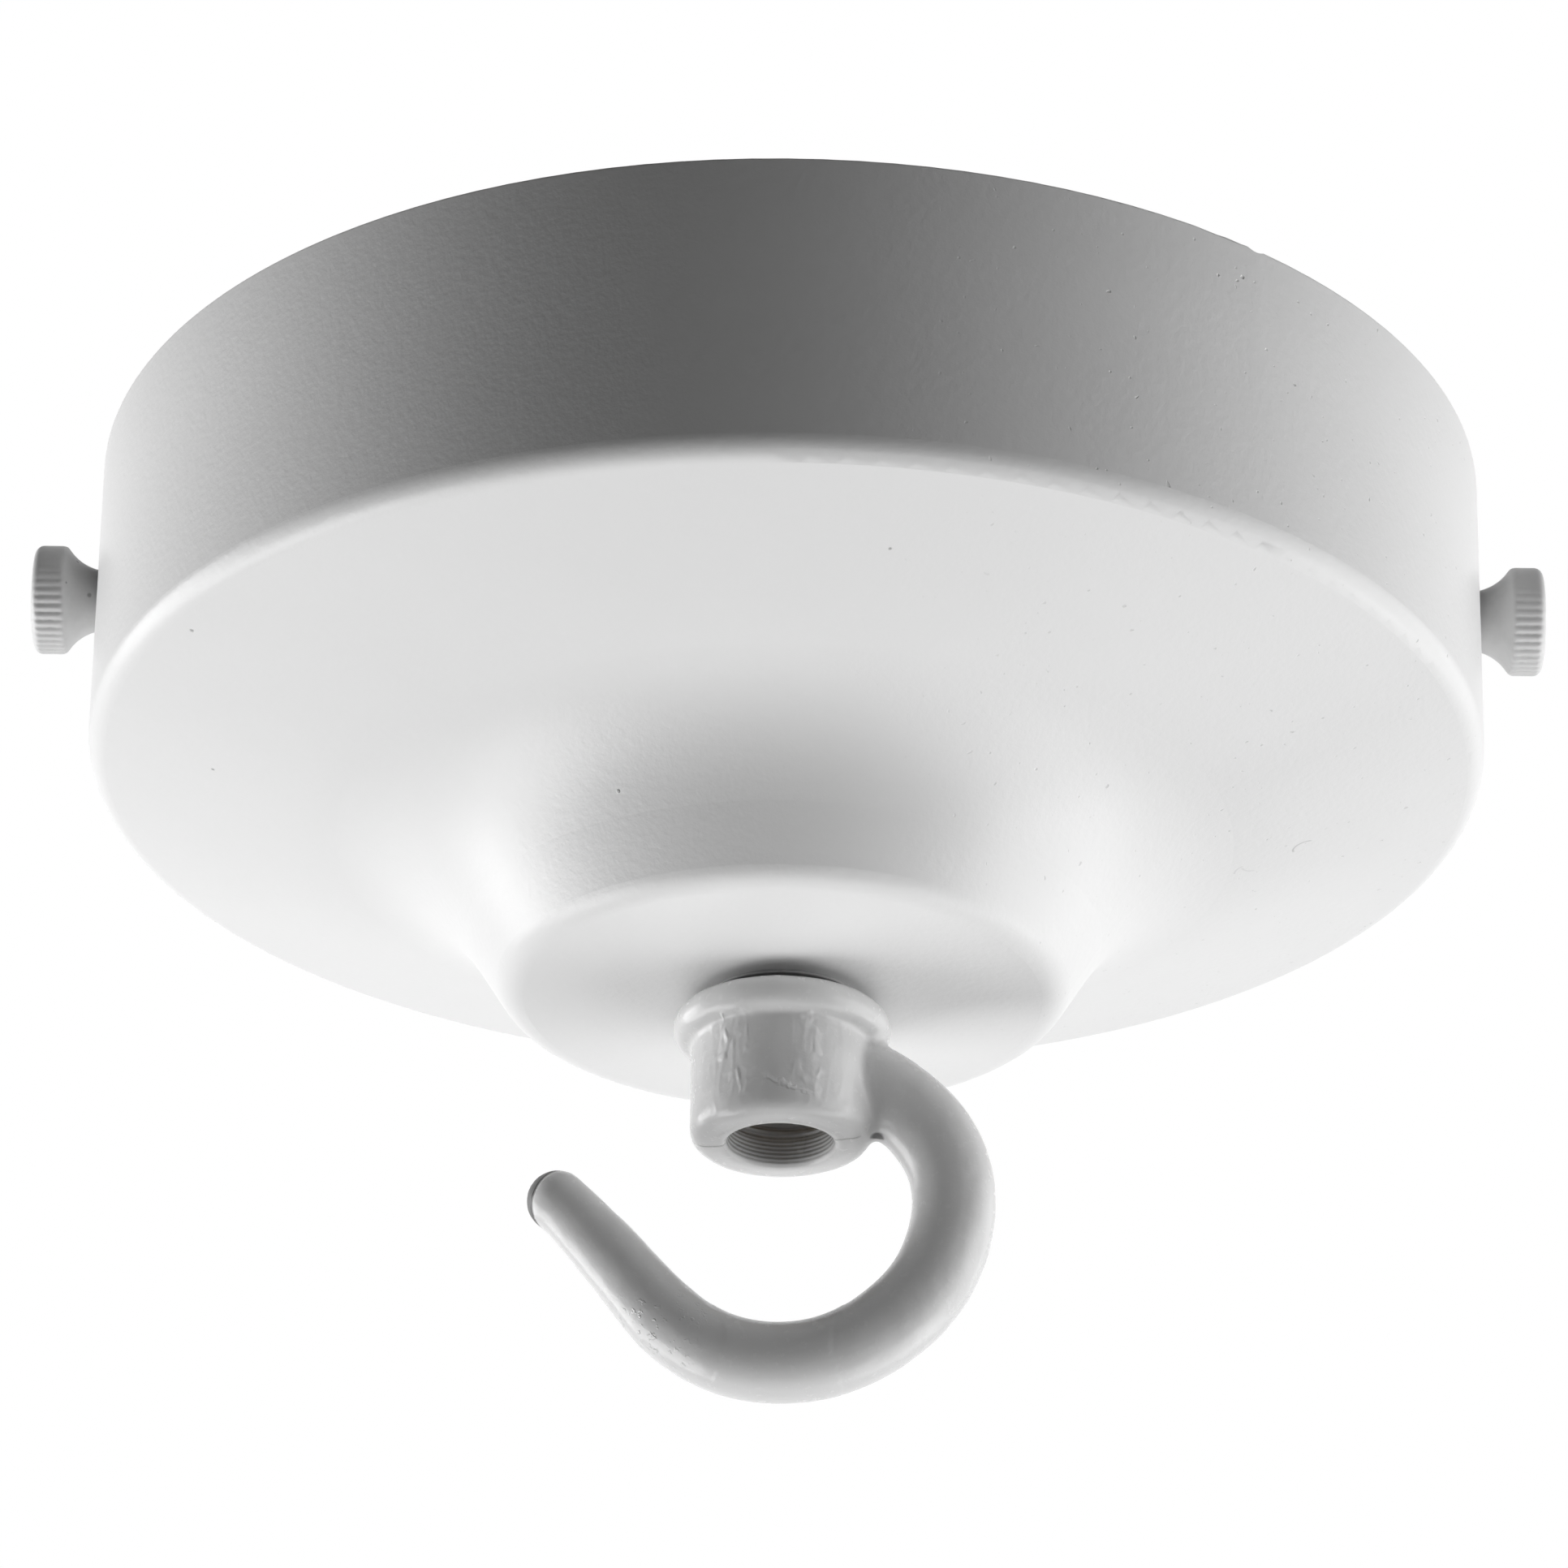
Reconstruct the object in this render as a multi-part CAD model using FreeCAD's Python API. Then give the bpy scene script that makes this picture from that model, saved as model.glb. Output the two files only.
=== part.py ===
"""Electrical ceiling rose with a cast hook, built piece by piece.

Millimetres. The origin is the middle of the ceiling plane, +Z points up into the ceiling,
and the two side screws lie along X. Every piece is drawn where it sits in the finished rose.
"""
import math
import os

import FreeCAD
import Part
from FreeCAD import Placement, Rotation, Vector

# The pressed cup: one steel sheet, from the ceiling rim down to the flat boss.
SHEET = 1.0
CUP_RADIUS = 60.0
CORNER_DROP = 26.8
CORNER_ROUND = 2.0
UNDERSIDE_SLOPE = 16.5
SWEEP_ROUND = 20.0
FLANK_SLOPE = 58.0
SHOULDER_ROUND = 2.7
BOSS_RADIUS = 23.6
BOSS_DROP = 47.5
RIM_ROUND = 0.3
NICK_WIDTH = 2.1
NICK_DEPTH = 0.35
NICK_ANGLE = -50.7
CUT_OVERRUN = 3.0

# The M10x1 thread that carries the hook, drawn plain: crest radius on the nipple and in the
# stretches it fills, core radius in the stretch of the hook that stays free.
THREAD_CREST = 5.0
THREAD_CORE = 4.46
THREAD_CLEARANCE = 0.05
NIPPLE_BORE = 3.75
NIPPLE_DEPTH = 7.5
NIPPLE_RISE = 3.2
CENTRE_HOLE_CLEARANCE = 0.2

# The hook casting: a collar and barrel turned about Z, and a bent rod in the XZ plane.
NECK_RADIUS = 6.6
NECK_HEIGHT = 0.8
COLLAR_RADIUS = 9.3
COLLAR_TOP_RADIUS = 8.3
COLLAR_TOP = 1.35
COLLAR_MIDDLE = 2.7
COLLAR_BOTTOM = 4.4
BARREL_RADIUS = 7.7
BARREL_HEIGHT = 13.5
BARREL_ROUND = 1.4
BORE_CHAMFER = 0.5
ROOT_FILLET = 0.8

# The rod from root to tip: distance out from the side of the barrel, depth below its end,
# and diameter.
ROD_STATIONS = (
    (-1.80, -5.90, 7.60),
    (1.20, -4.90, 7.35),
    (4.35, -2.20, 7.20),
    (6.35, 1.35, 7.18),
    (6.92, 4.90, 7.15),
    (6.05, 9.70, 7.15),
    (4.25, 13.15, 7.12),
    (1.35, 16.15, 7.05),
    (-2.80, 18.60, 6.92),
    (-7.60, 19.50, 6.82),
    (-12.25, 18.75, 6.75),
    (-15.80, 16.75, 6.62),
    (-18.45, 14.10, 6.30),
    (-20.80, 11.25, 5.90),
    (-23.45, 8.20, 5.55),
    (-26.32, 5.25, 5.30),
)

# The side screws: M4 thumbscrews with a waisted neck and a straight-knurled head.
SCREW_DROP = 10.2
SCREW_CREST = 1.95
SCREW_CLEARANCE = 0.05
SCREW_SEAT_GAP = 0.03
SCREW_LENGTH = 8.0
SCREW_TIP_CHAMFER = 0.5
SCREW_NECK_RADIUS = 2.65
SCREW_NECK_LENGTH = 2.7
SCREW_NECK_HOLLOW = 0.3
SCREW_HEAD_RADIUS = 4.72
SCREW_HEAD_LENGTH = 2.95
SCREW_HEAD_EDGE = 0.4
KNURL_TEETH = 40
KNURL_DEPTH = 0.26
CUP_SCREW_HOLE = 2.25

# The strap bracket: bent steel strip, flat against the ceiling, ends turned down.
STRAP_THICKNESS = 1.6
STRAP_WIDTH = 18.0
STRAP_WALL_GAP = 1.1
STRAP_BEND = 1.2
STRAP_DROP = 17.0
STRAP_END_ROUND = 4.0
SLOT_SPACING = 51.0
SLOT_LENGTH = 14.0
SLOT_WIDTH = 4.6

# The nut, washer and bush on the nipple inside the cup.
WASHER_THICKNESS = 0.8
WASHER_RADIUS = 8.6
WASHER_TEETH = 12
WASHER_TOOTH_DEPTH = 1.3
NUT_FLATS = 14.0
NUT_HEIGHT = 3.5
NUT_CHAMFER = 0.5
BUSH_BORE = 2.9
BUSH_FLANGE = 1.2
BUSH_FLANGE_RADIUS = 4.9
BUSH_SLEEVE = 6.0
BUSH_CLEARANCE = 0.05

# The terminal block under the strap: three poles along X, wire ways along Y.
POLE_PITCH = 8.5
BLOCK_LENGTH = 26.0
BLOCK_DEPTH = 17.0
BLOCK_BASE = 9.5
BLOCK_HEIGHT = 14.0
BLOCK_ROUND = 0.6
TOWER_RADIUS = 3.2
TOWER_OFFSET = 4.2
WELL_RADIUS = 2.1
WIRE_WAY_DROP = 5.4
SLEEVE_RADIUS = 2.5
SLEEVE_BORE = 1.75
SLEEVE_LENGTH = 15.0
SLEEVE_CLEARANCE = 0.05
CLAMP_CREST = 1.45
CLAMP_HEAD_RADIUS = 1.9
CLAMP_HEAD_HEIGHT = 1.6
CLAMP_LENGTH = 4.4
CLAMP_REACH = 0.6
SMALL_SCREW_CLEARANCE = 0.05
DRIVER_SLOT = 0.6
FIXING_CREST = 1.45
FIXING_HEAD_RADIUS = 2.5
FIXING_HEAD_HEIGHT = 1.8
FIXING_HOLE = 1.7
TIP_SETBACK = 0.15

# The earth point of the strap: M4 brass screw and cupped washer.
EARTH_SETBACK = 14.9
EARTH_CREST = 1.95
EARTH_HEAD_RADIUS = 3.5
EARTH_HEAD_HEIGHT = 2.4
EARTH_WASHER_RADIUS = 4.6
EARTH_WASHER_THICKNESS = 0.7
EARTH_WASHER_LIP = 1.3
EARTH_CLEARANCE = 0.05

# Heights and places that follow from the sizes above.
BOSS_TOP = -BOSS_DROP + SHEET
BARREL_END = -BOSS_DROP - BARREL_HEIGHT
NIPPLE_END = -BOSS_DROP - NIPPLE_DEPTH
NUT_SEAT = BOSS_TOP + WASHER_THICKNESS
NIPPLE_TOP = NUT_SEAT + NUT_HEIGHT + NIPPLE_RISE
NIPPLE_RADIUS = THREAD_CREST - THREAD_CLEARANCE
STRAP_REACH = CUP_RADIUS - SHEET - STRAP_WALL_GAP
EARTH_X = EARTH_SETBACK - STRAP_REACH
BLOCK_TOP = -STRAP_THICKNESS
BLOCK_SEAT = BLOCK_TOP - BLOCK_BASE
BLOCK_END = BLOCK_TOP - BLOCK_HEIGHT
WIRE_WAY_Z = BLOCK_TOP - WIRE_WAY_DROP
POLES = {"live": -POLE_PITCH, "neutral": 0.0, "earth": POLE_PITCH}

Z_AXIS = Vector(0, 0, 1)


def rod_along_z(radius, low, high, x=0.0, y=0.0):
    """Upright cylinder between two heights."""
    return Part.makeCylinder(radius, high - low, Vector(x, y, low))


def box_between(low, high):
    """Box between two opposite corners, given as (x, y, z)."""
    size = [b - a for a, b in zip(low, high)]
    return Part.makeBox(*size, Vector(*low))


def upright_edges(solid):
    """Straight edges of a solid that run along Z."""
    return [e for e in solid.Edges if abs(e.tangentAt(e.FirstParameter).z) > 0.999]


def moved_right(corners, distance):
    """Corners of a line moved to the right of the way it runs, for the far side of a sheet."""
    ways = []
    for (x0, z0), (x1, z1) in zip(corners, corners[1:]):
        length = math.hypot(x1 - x0, z1 - z0)
        ways.append(((x1 - x0) / length, (z1 - z0) / length))
    sides = [(dz * distance, -dx * distance) for dx, dz in ways]
    out = [(corners[0][0] + sides[0][0], corners[0][1] + sides[0][1])]
    for corner, before, after, way in zip(corners[1:-1], sides, sides[1:], ways):
        # the two moved lines meet where the step along the first has closed the gap between them
        normal = (after[0] / distance, after[1] / distance)
        gap = sum((a - b) * n for a, b, n in zip(after, before, normal))
        step = gap / (way[0] * normal[0] + way[1] * normal[1])
        out.append((corner[0] + before[0] + way[0] * step, corner[1] + before[1] + way[1] * step))
    out.append((corners[-1][0] + sides[-1][0], corners[-1][1] + sides[-1][1]))
    return out


def rounded_line(corners, rounds):
    """Edges of an open line in the XZ plane, with each inner corner rounded to its radius."""
    points = [Vector(x, 0, z) for x, z in corners]
    start = points[0]
    edges = []
    for before, corner, after, radius in zip(points, points[1:], points[2:], rounds):
        back = (before - corner).normalize()
        ahead = (after - corner).normalize()
        half = back.getAngle(ahead) / 2
        enter = corner + back * (radius / math.tan(half))
        leave = corner + ahead * (radius / math.tan(half))
        middle = corner + (back + ahead).normalize() * (radius / math.sin(half) - radius)
        edges.append(Part.makeLine(start, enter))
        edges.append(Part.Arc(enter, middle, leave).toShape())
        start = leave
    edges.append(Part.makeLine(start, points[-1]))
    return edges


def turned(edges):
    """Solid of revolution about Z from a closed run of edges in the XZ plane."""
    wire = Part.Wire(Part.__sortEdges__(edges))
    return Part.Face(wire).revolve(Vector(), Z_AXIS, 360)


def turned_polygon(corners):
    """Solid of revolution about Z from straight-sided (radius, height) corners."""
    points = [Vector(r, 0, z) for r, z in corners]
    return Part.Face(Part.makePolygon(points + points[:1])).revolve(Vector(), Z_AXIS, 360)


def toothed_prism(teeth, tip_radius, root_radius, low, high, tip_share=0.0):
    """Upright prism with straight teeth, whose tips take a share of the pitch."""
    points = []
    pitch = 2 * math.pi / teeth
    for tooth in range(teeth):
        for radius, share in ((tip_radius, -tip_share / 2), (tip_radius, tip_share / 2), (root_radius, 0.5)):
            angle = (tooth + share) * pitch
            point = Vector(radius * math.cos(angle), radius * math.sin(angle), low)
            if not points or point.distanceToPoint(points[-1]) > 1e-6:
                points.append(point)
    face = Part.Face(Part.makePolygon(points + points[:1]))
    return face.extrude(Vector(0, 0, high - low))


def cup_line():
    """Corners of the outer side of the cup in (radius, height), from the rim to the nipple hole."""
    slope = math.tan(math.radians(UNDERSIDE_SLOPE))
    flank = math.tan(math.radians(FLANK_SLOPE))
    meet = (BOSS_DROP - CORNER_DROP + flank * BOSS_RADIUS - slope * CUP_RADIUS) / (flank - slope)
    return [
        (CUP_RADIUS, 0.0),
        (CUP_RADIUS, -CORNER_DROP),
        (meet, -CORNER_DROP - slope * (CUP_RADIUS - meet)),
        (BOSS_RADIUS, -BOSS_DROP),
        (THREAD_CREST + CENTRE_HOLE_CLEARANCE, -BOSS_DROP),
    ]


def canopy_cup():
    """Pressed cup of even sheet thickness, with its screw holes and the nick in the rim."""
    outer = cup_line()
    inner = moved_right(outer, SHEET)
    edges = rounded_line(outer, (CORNER_ROUND, SWEEP_ROUND, SHOULDER_ROUND))
    edges += rounded_line(inner, (CORNER_ROUND - SHEET, SWEEP_ROUND + SHEET, SHOULDER_ROUND - SHEET))
    for (x0, z0), (x1, z1) in ((outer[0], inner[0]), (outer[-1], inner[-1])):
        edges.append(Part.makeLine(Vector(x0, 0, z0), Vector(x1, 0, z1)))
    cup = turned(edges)
    rim = [e for e in cup.Edges if abs(e.BoundBox.ZMin) < 1e-6 and e.BoundBox.ZLength < 1e-6]
    cup = cup.makeFillet(RIM_ROUND, rim)

    reach = CUP_RADIUS + CUT_OVERRUN
    across = Vector(-reach, 0, -SCREW_DROP)
    cup = cup.cut(Part.makeCylinder(CUP_SCREW_HOLE, 2 * reach, across, Vector(1, 0, 0)))

    nick_radius = (NICK_WIDTH ** 2 / 4 + NICK_DEPTH ** 2) / (2 * NICK_DEPTH)
    out = Vector(math.cos(math.radians(NICK_ANGLE)), math.sin(math.radians(NICK_ANGLE)), 0)
    start = out * (CUP_RADIUS - SHEET - CUT_OVERRUN) + Vector(0, 0, nick_radius - NICK_DEPTH)
    return cup.cut(Part.makeCylinder(nick_radius, SHEET + 2 * CUT_OVERRUN, start, out))


def hook_barrel():
    """Collar and barrel of the hook before its thread is cut."""
    top = -BOSS_DROP
    neck = [
        Vector(0, 0, top),
        Vector(NECK_RADIUS, 0, top),
        Vector(NECK_RADIUS, 0, top - NECK_HEIGHT),
        Vector(COLLAR_TOP_RADIUS, 0, top - COLLAR_TOP),
    ]
    side = Vector(BARREL_RADIUS, 0, top - COLLAR_BOTTOM)
    turn = Vector(BARREL_RADIUS, 0, BARREL_END + BARREL_ROUND)
    bottom = Vector(BARREL_RADIUS - BARREL_ROUND, 0, BARREL_END)
    bend = math.sqrt(0.5) * BARREL_ROUND
    curve = turn + Vector(bend - BARREL_ROUND, 0, -bend)
    edges = [Part.makeLine(a, b) for a, b in zip(neck, neck[1:])]
    edges.append(Part.Arc(neck[-1], Vector(COLLAR_RADIUS, 0, top - COLLAR_MIDDLE), side).toShape())
    edges.append(Part.makeLine(side, turn))
    edges.append(Part.Arc(turn, curve, bottom).toShape())
    edges.append(Part.makeLine(bottom, Vector(0, 0, BARREL_END)))
    edges.append(Part.makeLine(Vector(0, 0, BARREL_END), neck[0]))
    barrel = turned(edges)
    barrel.rotate(Vector(), Z_AXIS, 180)  # its seam lies on the side away from the rod
    return barrel


def hook_rod():
    """Bent rod, thick at the barrel and drawn out to a domed tip."""
    points = [Vector(BARREL_RADIUS + out, 0, BARREL_END - below) for out, below, _ in ROD_STATIONS]
    spine = Part.BSplineCurve()
    spine.interpolate(points)
    rings = []
    for point, (_, _, diameter) in zip(points, ROD_STATIONS):
        way = spine.tangent(spine.parameter(point))[0]
        turn = Rotation(Vector(0, 1, 0), math.degrees(math.atan2(way.x, way.z)))
        ring = Part.makeCircle(diameter / 2)
        ring.Placement = Placement(point, turn)
        rings.append(Part.Wire(ring))
    rod = Part.makeLoft(rings, True)
    dome = Part.makeSphere(ROD_STATIONS[-1][2] / 2, points[-1], way, 0, 90, 360)
    return rod.fuse(dome)


def root_edges(body):
    """Edges where the lofted rod runs into the turned collar and barrel."""
    found = []
    for edge in body.Edges:
        faces = [] if edge.Degenerated else body.ancestorsOfType(edge, Part.Face)
        lofted = [f for f in faces if isinstance(f.Surface, Part.BSplineSurface)]
        if len(faces) == 2 and len(lofted) == 1 and edge.BoundBox.XMin > 0:
            found.append(edge)
    return found


def hook():
    """Hook casting with the stretch that holds the nipple and the free thread below it."""
    body = hook_barrel().fuse(hook_rod()).removeSplitter()
    body = body.makeFillet(ROOT_FILLET, root_edges(body))
    seat = rod_along_z(THREAD_CREST, NIPPLE_END, -BOSS_DROP)
    bore = rod_along_z(THREAD_CORE, BARREL_END, NIPPLE_END)
    mouth = Part.makeCone(
        THREAD_CORE + BORE_CHAMFER, THREAD_CORE, BORE_CHAMFER, Vector(0, 0, BARREL_END)
    )
    return body.cut(seat.fuse(bore).fuse(mouth))


def side_screw(side):
    """Thumbscrew on the +X (side 1) or -X (side -1) wall, turned about its own axis."""
    seat = CUP_RADIUS + SCREW_SEAT_GAP
    neck_end = SCREW_NECK_LENGTH
    head_end = neck_end + SCREW_HEAD_LENGTH
    shank = turned_polygon((
        (0, -SCREW_LENGTH),
        (SCREW_CREST - SCREW_TIP_CHAMFER, -SCREW_LENGTH),
        (SCREW_CREST, SCREW_TIP_CHAMFER - SCREW_LENGTH),
        (SCREW_CREST, 0),
        (0, 0),
    ))
    foot = Vector(SCREW_NECK_RADIUS, 0, 0)
    rim = Vector(SCREW_HEAD_RADIUS - KNURL_DEPTH, 0, neck_end)
    flare = rim - foot
    waist = foot + flare * 0.5 + Vector(-flare.z, 0, flare.x).normalize() * SCREW_NECK_HOLLOW
    neck = turned([
        Part.makeLine(Vector(), foot),
        Part.Arc(foot, waist, rim).toShape(),
        Part.makeLine(rim, Vector(0, 0, neck_end)),
        Part.makeLine(Vector(0, 0, neck_end), Vector()),
    ])
    edge = SCREW_HEAD_EDGE
    blank = turned_polygon((
        (0, neck_end),
        (SCREW_HEAD_RADIUS - KNURL_DEPTH, neck_end),
        (SCREW_HEAD_RADIUS, neck_end + KNURL_DEPTH),
        (SCREW_HEAD_RADIUS, head_end - edge),
        (SCREW_HEAD_RADIUS - edge, head_end),
        (0, head_end),
    ))
    root = SCREW_HEAD_RADIUS - KNURL_DEPTH
    head = blank.common(
        toothed_prism(KNURL_TEETH, SCREW_HEAD_RADIUS, root, neck_end, head_end, 0.35)
    )
    screw = shank.fuse(neck).fuse(head).removeSplitter()
    screw.Placement = Placement(
        Vector(side * seat, 0, -SCREW_DROP), Rotation(Vector(0, 1, 0), side * 90)
    )
    return screw


def strap_bracket():
    """Bent strip with two ceiling slots, tapped ends and tapped holes for the terminals."""
    outside = [
        (-STRAP_REACH, -STRAP_DROP),
        (-STRAP_REACH, 0.0),
        (STRAP_REACH, 0.0),
        (STRAP_REACH, -STRAP_DROP),
    ]
    inside = moved_right(outside, STRAP_THICKNESS)
    edges = rounded_line(outside, (STRAP_BEND + STRAP_THICKNESS,) * 2)
    edges += rounded_line(inside, (STRAP_BEND,) * 2)
    for (x0, z0), (x1, z1) in ((outside[0], inside[0]), (outside[-1], inside[-1])):
        edges.append(Part.makeLine(Vector(x0, 0, z0), Vector(x1, 0, z1)))
    strip = Part.Face(Part.Wire(Part.__sortEdges__(edges)))
    strip.translate(Vector(0, -STRAP_WIDTH / 2, 0))
    strap = strip.extrude(Vector(0, STRAP_WIDTH, 0))
    ends = [
        e for e in strap.Edges
        if abs(e.BoundBox.ZMax + STRAP_DROP) < 1e-6 and e.BoundBox.YLength < 1e-6
    ]
    strap = strap.makeFillet(STRAP_END_ROUND, ends)

    for side in (-1, 1):
        straight = SLOT_LENGTH - SLOT_WIDTH
        middle = side * SLOT_SPACING / 2
        slot = box_between(
            (middle - straight / 2, -SLOT_WIDTH / 2, -STRAP_THICKNESS),
            (middle + straight / 2, SLOT_WIDTH / 2, 0),
        )
        for end in (-1, 1):
            slot = slot.fuse(
                rod_along_z(SLOT_WIDTH / 2, -STRAP_THICKNESS, 0, middle + end * straight / 2)
            )
        fixing = rod_along_z(
            FIXING_CREST + SMALL_SCREW_CLEARANCE, -STRAP_THICKNESS, 0, side * POLE_PITCH / 2
        )
        strap = strap.cut(slot).cut(fixing)
    earth = rod_along_z(EARTH_CREST + EARTH_CLEARANCE, -STRAP_THICKNESS, 0, EARTH_X)
    tapped = Part.makeCylinder(
        SCREW_CREST + SCREW_CLEARANCE,
        2 * STRAP_REACH,
        Vector(-STRAP_REACH, 0, -SCREW_DROP),
        Vector(1, 0, 0),
    )
    return strap.cut(earth).cut(tapped)


def threaded_nipple():
    """Hollow threaded tube from inside the cup down into the hook."""
    tube = rod_along_z(NIPPLE_RADIUS, NIPPLE_END, NIPPLE_TOP)
    return tube.cut(rod_along_z(NIPPLE_BORE, NIPPLE_END, NIPPLE_TOP))


def tooth_washer():
    """External-tooth washer between the boss and the nut."""
    root = WASHER_RADIUS - WASHER_TOOTH_DEPTH
    star = toothed_prism(WASHER_TEETH, WASHER_RADIUS, root, BOSS_TOP, NUT_SEAT, 0.45)
    return star.cut(rod_along_z(THREAD_CREST, BOSS_TOP, NUT_SEAT))


def lock_nut():
    """Thin hexagon nut, chamfered at its upper corners."""
    corner = NUT_FLATS / math.sqrt(3)
    top = NUT_SEAT + NUT_HEIGHT
    ring = [
        Vector(corner * math.cos(math.radians(a)), corner * math.sin(math.radians(a)), NUT_SEAT)
        for a in range(0, 361, 60)
    ]
    prism = Part.Face(Part.makePolygon(ring)).extrude(Vector(0, 0, NUT_HEIGHT))
    blank = turned_polygon((
        (0, NUT_SEAT),
        (corner, NUT_SEAT),
        (corner, top - NUT_CHAMFER),
        (corner - 2 * NUT_CHAMFER, top),
        (0, top),
    ))
    return prism.common(blank).cut(rod_along_z(THREAD_CREST, NUT_SEAT, top))


def nipple_bush():
    """Plastic bush in the top of the nipple, with a rounded mouth for the flex."""
    top = NIPPLE_TOP + BUSH_FLANGE
    flange = rod_along_z(BUSH_FLANGE_RADIUS, NIPPLE_TOP, top)
    sleeve = rod_along_z(NIPPLE_BORE - BUSH_CLEARANCE, NIPPLE_TOP - BUSH_SLEEVE, NIPPLE_TOP)
    bush = flange.fuse(sleeve).cut(rod_along_z(BUSH_BORE, NIPPLE_TOP - BUSH_SLEEVE, top))
    mouth = [e for e in bush.Edges if abs(e.BoundBox.ZMin - top) < 1e-6]
    return bush.makeFillet(BUSH_FLANGE * 0.4, mouth)


def terminal_body():
    """Insulating block with a through way for each sleeve and two screw towers a pole."""
    half_length = BLOCK_LENGTH / 2
    half_depth = BLOCK_DEPTH / 2
    block = box_between((-half_length, -half_depth, BLOCK_SEAT), (half_length, half_depth, BLOCK_TOP))
    block = block.makeFillet(BLOCK_ROUND, upright_edges(block))
    for x in POLES.values():
        for y in (-TOWER_OFFSET, TOWER_OFFSET):
            block = block.fuse(rod_along_z(TOWER_RADIUS, BLOCK_END, BLOCK_SEAT, x, y))
    block = block.removeSplitter()
    for x in POLES.values():
        way = Part.makeCylinder(
            SLEEVE_RADIUS + SLEEVE_CLEARANCE,
            BLOCK_DEPTH,
            Vector(x, -half_depth, WIRE_WAY_Z),
            Vector(0, 1, 0),
        )
        block = block.cut(way)
        for y in (-TOWER_OFFSET, TOWER_OFFSET):
            block = block.cut(rod_along_z(WELL_RADIUS, BLOCK_END, WIRE_WAY_Z, x, y))
    for x in (-POLE_PITCH / 2, POLE_PITCH / 2):
        block = block.cut(rod_along_z(FIXING_HOLE, BLOCK_SEAT, BLOCK_TOP, x))
    return block


def terminal_sleeve(pole):
    """Brass sleeve of one pole with two tapped holes on its lower side."""
    x = POLES[pole]
    start = Vector(x, -SLEEVE_LENGTH / 2, WIRE_WAY_Z)
    along = Vector(0, 1, 0)
    sleeve = Part.makeCylinder(SLEEVE_RADIUS, SLEEVE_LENGTH, start, along)
    sleeve = sleeve.cut(Part.makeCylinder(SLEEVE_BORE, SLEEVE_LENGTH, start, along))
    for y in (-TOWER_OFFSET, TOWER_OFFSET):
        tapped = rod_along_z(
            CLAMP_CREST + SMALL_SCREW_CLEARANCE, WIRE_WAY_Z - 2 * SLEEVE_RADIUS, WIRE_WAY_Z, x, y
        )
        sleeve = sleeve.cut(tapped)
    return sleeve


def slotted_screw(crest, head_radius, head_height, head_low, tip, x, y):
    """Upright cheese-head screw with its head down and a slot across it."""
    head_top = head_low + head_height
    screw = rod_along_z(head_radius, head_low, head_top, x, y)
    screw = screw.fuse(rod_along_z(crest, head_top, tip, x, y))
    slot = box_between(
        (x - head_radius, y - DRIVER_SLOT / 2, head_low),
        (x + head_radius, y + DRIVER_SLOT / 2, head_low + head_height * 0.45),
    )
    return screw.cut(slot)


def terminal_screws():
    """Six clamp screws, each backed off so that its tip just enters the wire way."""
    tip = WIRE_WAY_Z - SLEEVE_BORE + CLAMP_REACH
    head_low = tip - CLAMP_LENGTH - CLAMP_HEAD_HEIGHT
    screws = [
        slotted_screw(CLAMP_CREST, CLAMP_HEAD_RADIUS, CLAMP_HEAD_HEIGHT, head_low, tip, x, y)
        for x in POLES.values()
        for y in (-TOWER_OFFSET, TOWER_OFFSET)
    ]
    return Part.makeCompound(screws)


def terminal_fixing_screws():
    """Two screws between the poles, tapped into the strap and stopped short of the ceiling."""
    head_low = BLOCK_SEAT - FIXING_HEAD_HEIGHT
    screws = [
        slotted_screw(
            FIXING_CREST, FIXING_HEAD_RADIUS, FIXING_HEAD_HEIGHT, head_low, -TIP_SETBACK, x, 0.0
        )
        for x in (-POLE_PITCH / 2, POLE_PITCH / 2)
    ]
    return Part.makeCompound(screws)


def earth_washer():
    """Cupped washer under the earth screw, its lip turned up to hold the wire."""
    hole = EARTH_CREST + EARTH_CLEARANCE
    top = -STRAP_THICKNESS
    low = top - EARTH_WASHER_LIP
    skin = EARTH_WASHER_THICKNESS
    return turned_polygon((
        (hole, low),
        (EARTH_WASHER_RADIUS - skin, low),
        (EARTH_WASHER_RADIUS - skin * 0.4, low + skin),
        (EARTH_WASHER_RADIUS, top),
        (EARTH_WASHER_RADIUS - skin, top),
        (EARTH_WASHER_RADIUS - 1.5 * skin, low + skin),
        (hole, low + skin),
    )).translated(Vector(EARTH_X, 0, 0))


def earth_screw():
    """Brass screw of the earth point, tapped into the strap."""
    head_low = -STRAP_THICKNESS - EARTH_WASHER_LIP - EARTH_HEAD_HEIGHT
    return slotted_screw(
        EARTH_CREST, EARTH_HEAD_RADIUS, EARTH_HEAD_HEIGHT, head_low, -TIP_SETBACK, EARTH_X, 0.0
    )


PIECES = {
    "canopy_cup": canopy_cup(),
    "hook": hook(),
    "side_screw_left": side_screw(-1),
    "side_screw_right": side_screw(1),
    "strap_bracket": strap_bracket(),
    "threaded_nipple": threaded_nipple(),
    "tooth_washer": tooth_washer(),
    "lock_nut": lock_nut(),
    "nipple_bush": nipple_bush(),
    "terminal_body": terminal_body(),
    "terminal_sleeve_live": terminal_sleeve("live"),
    "terminal_sleeve_neutral": terminal_sleeve("neutral"),
    "terminal_sleeve_earth": terminal_sleeve("earth"),
    "terminal_screws": terminal_screws(),
    "terminal_fixing_screws": terminal_fixing_screws(),
    "earth_washer": earth_washer(),
    "earth_screw": earth_screw(),
}

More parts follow.
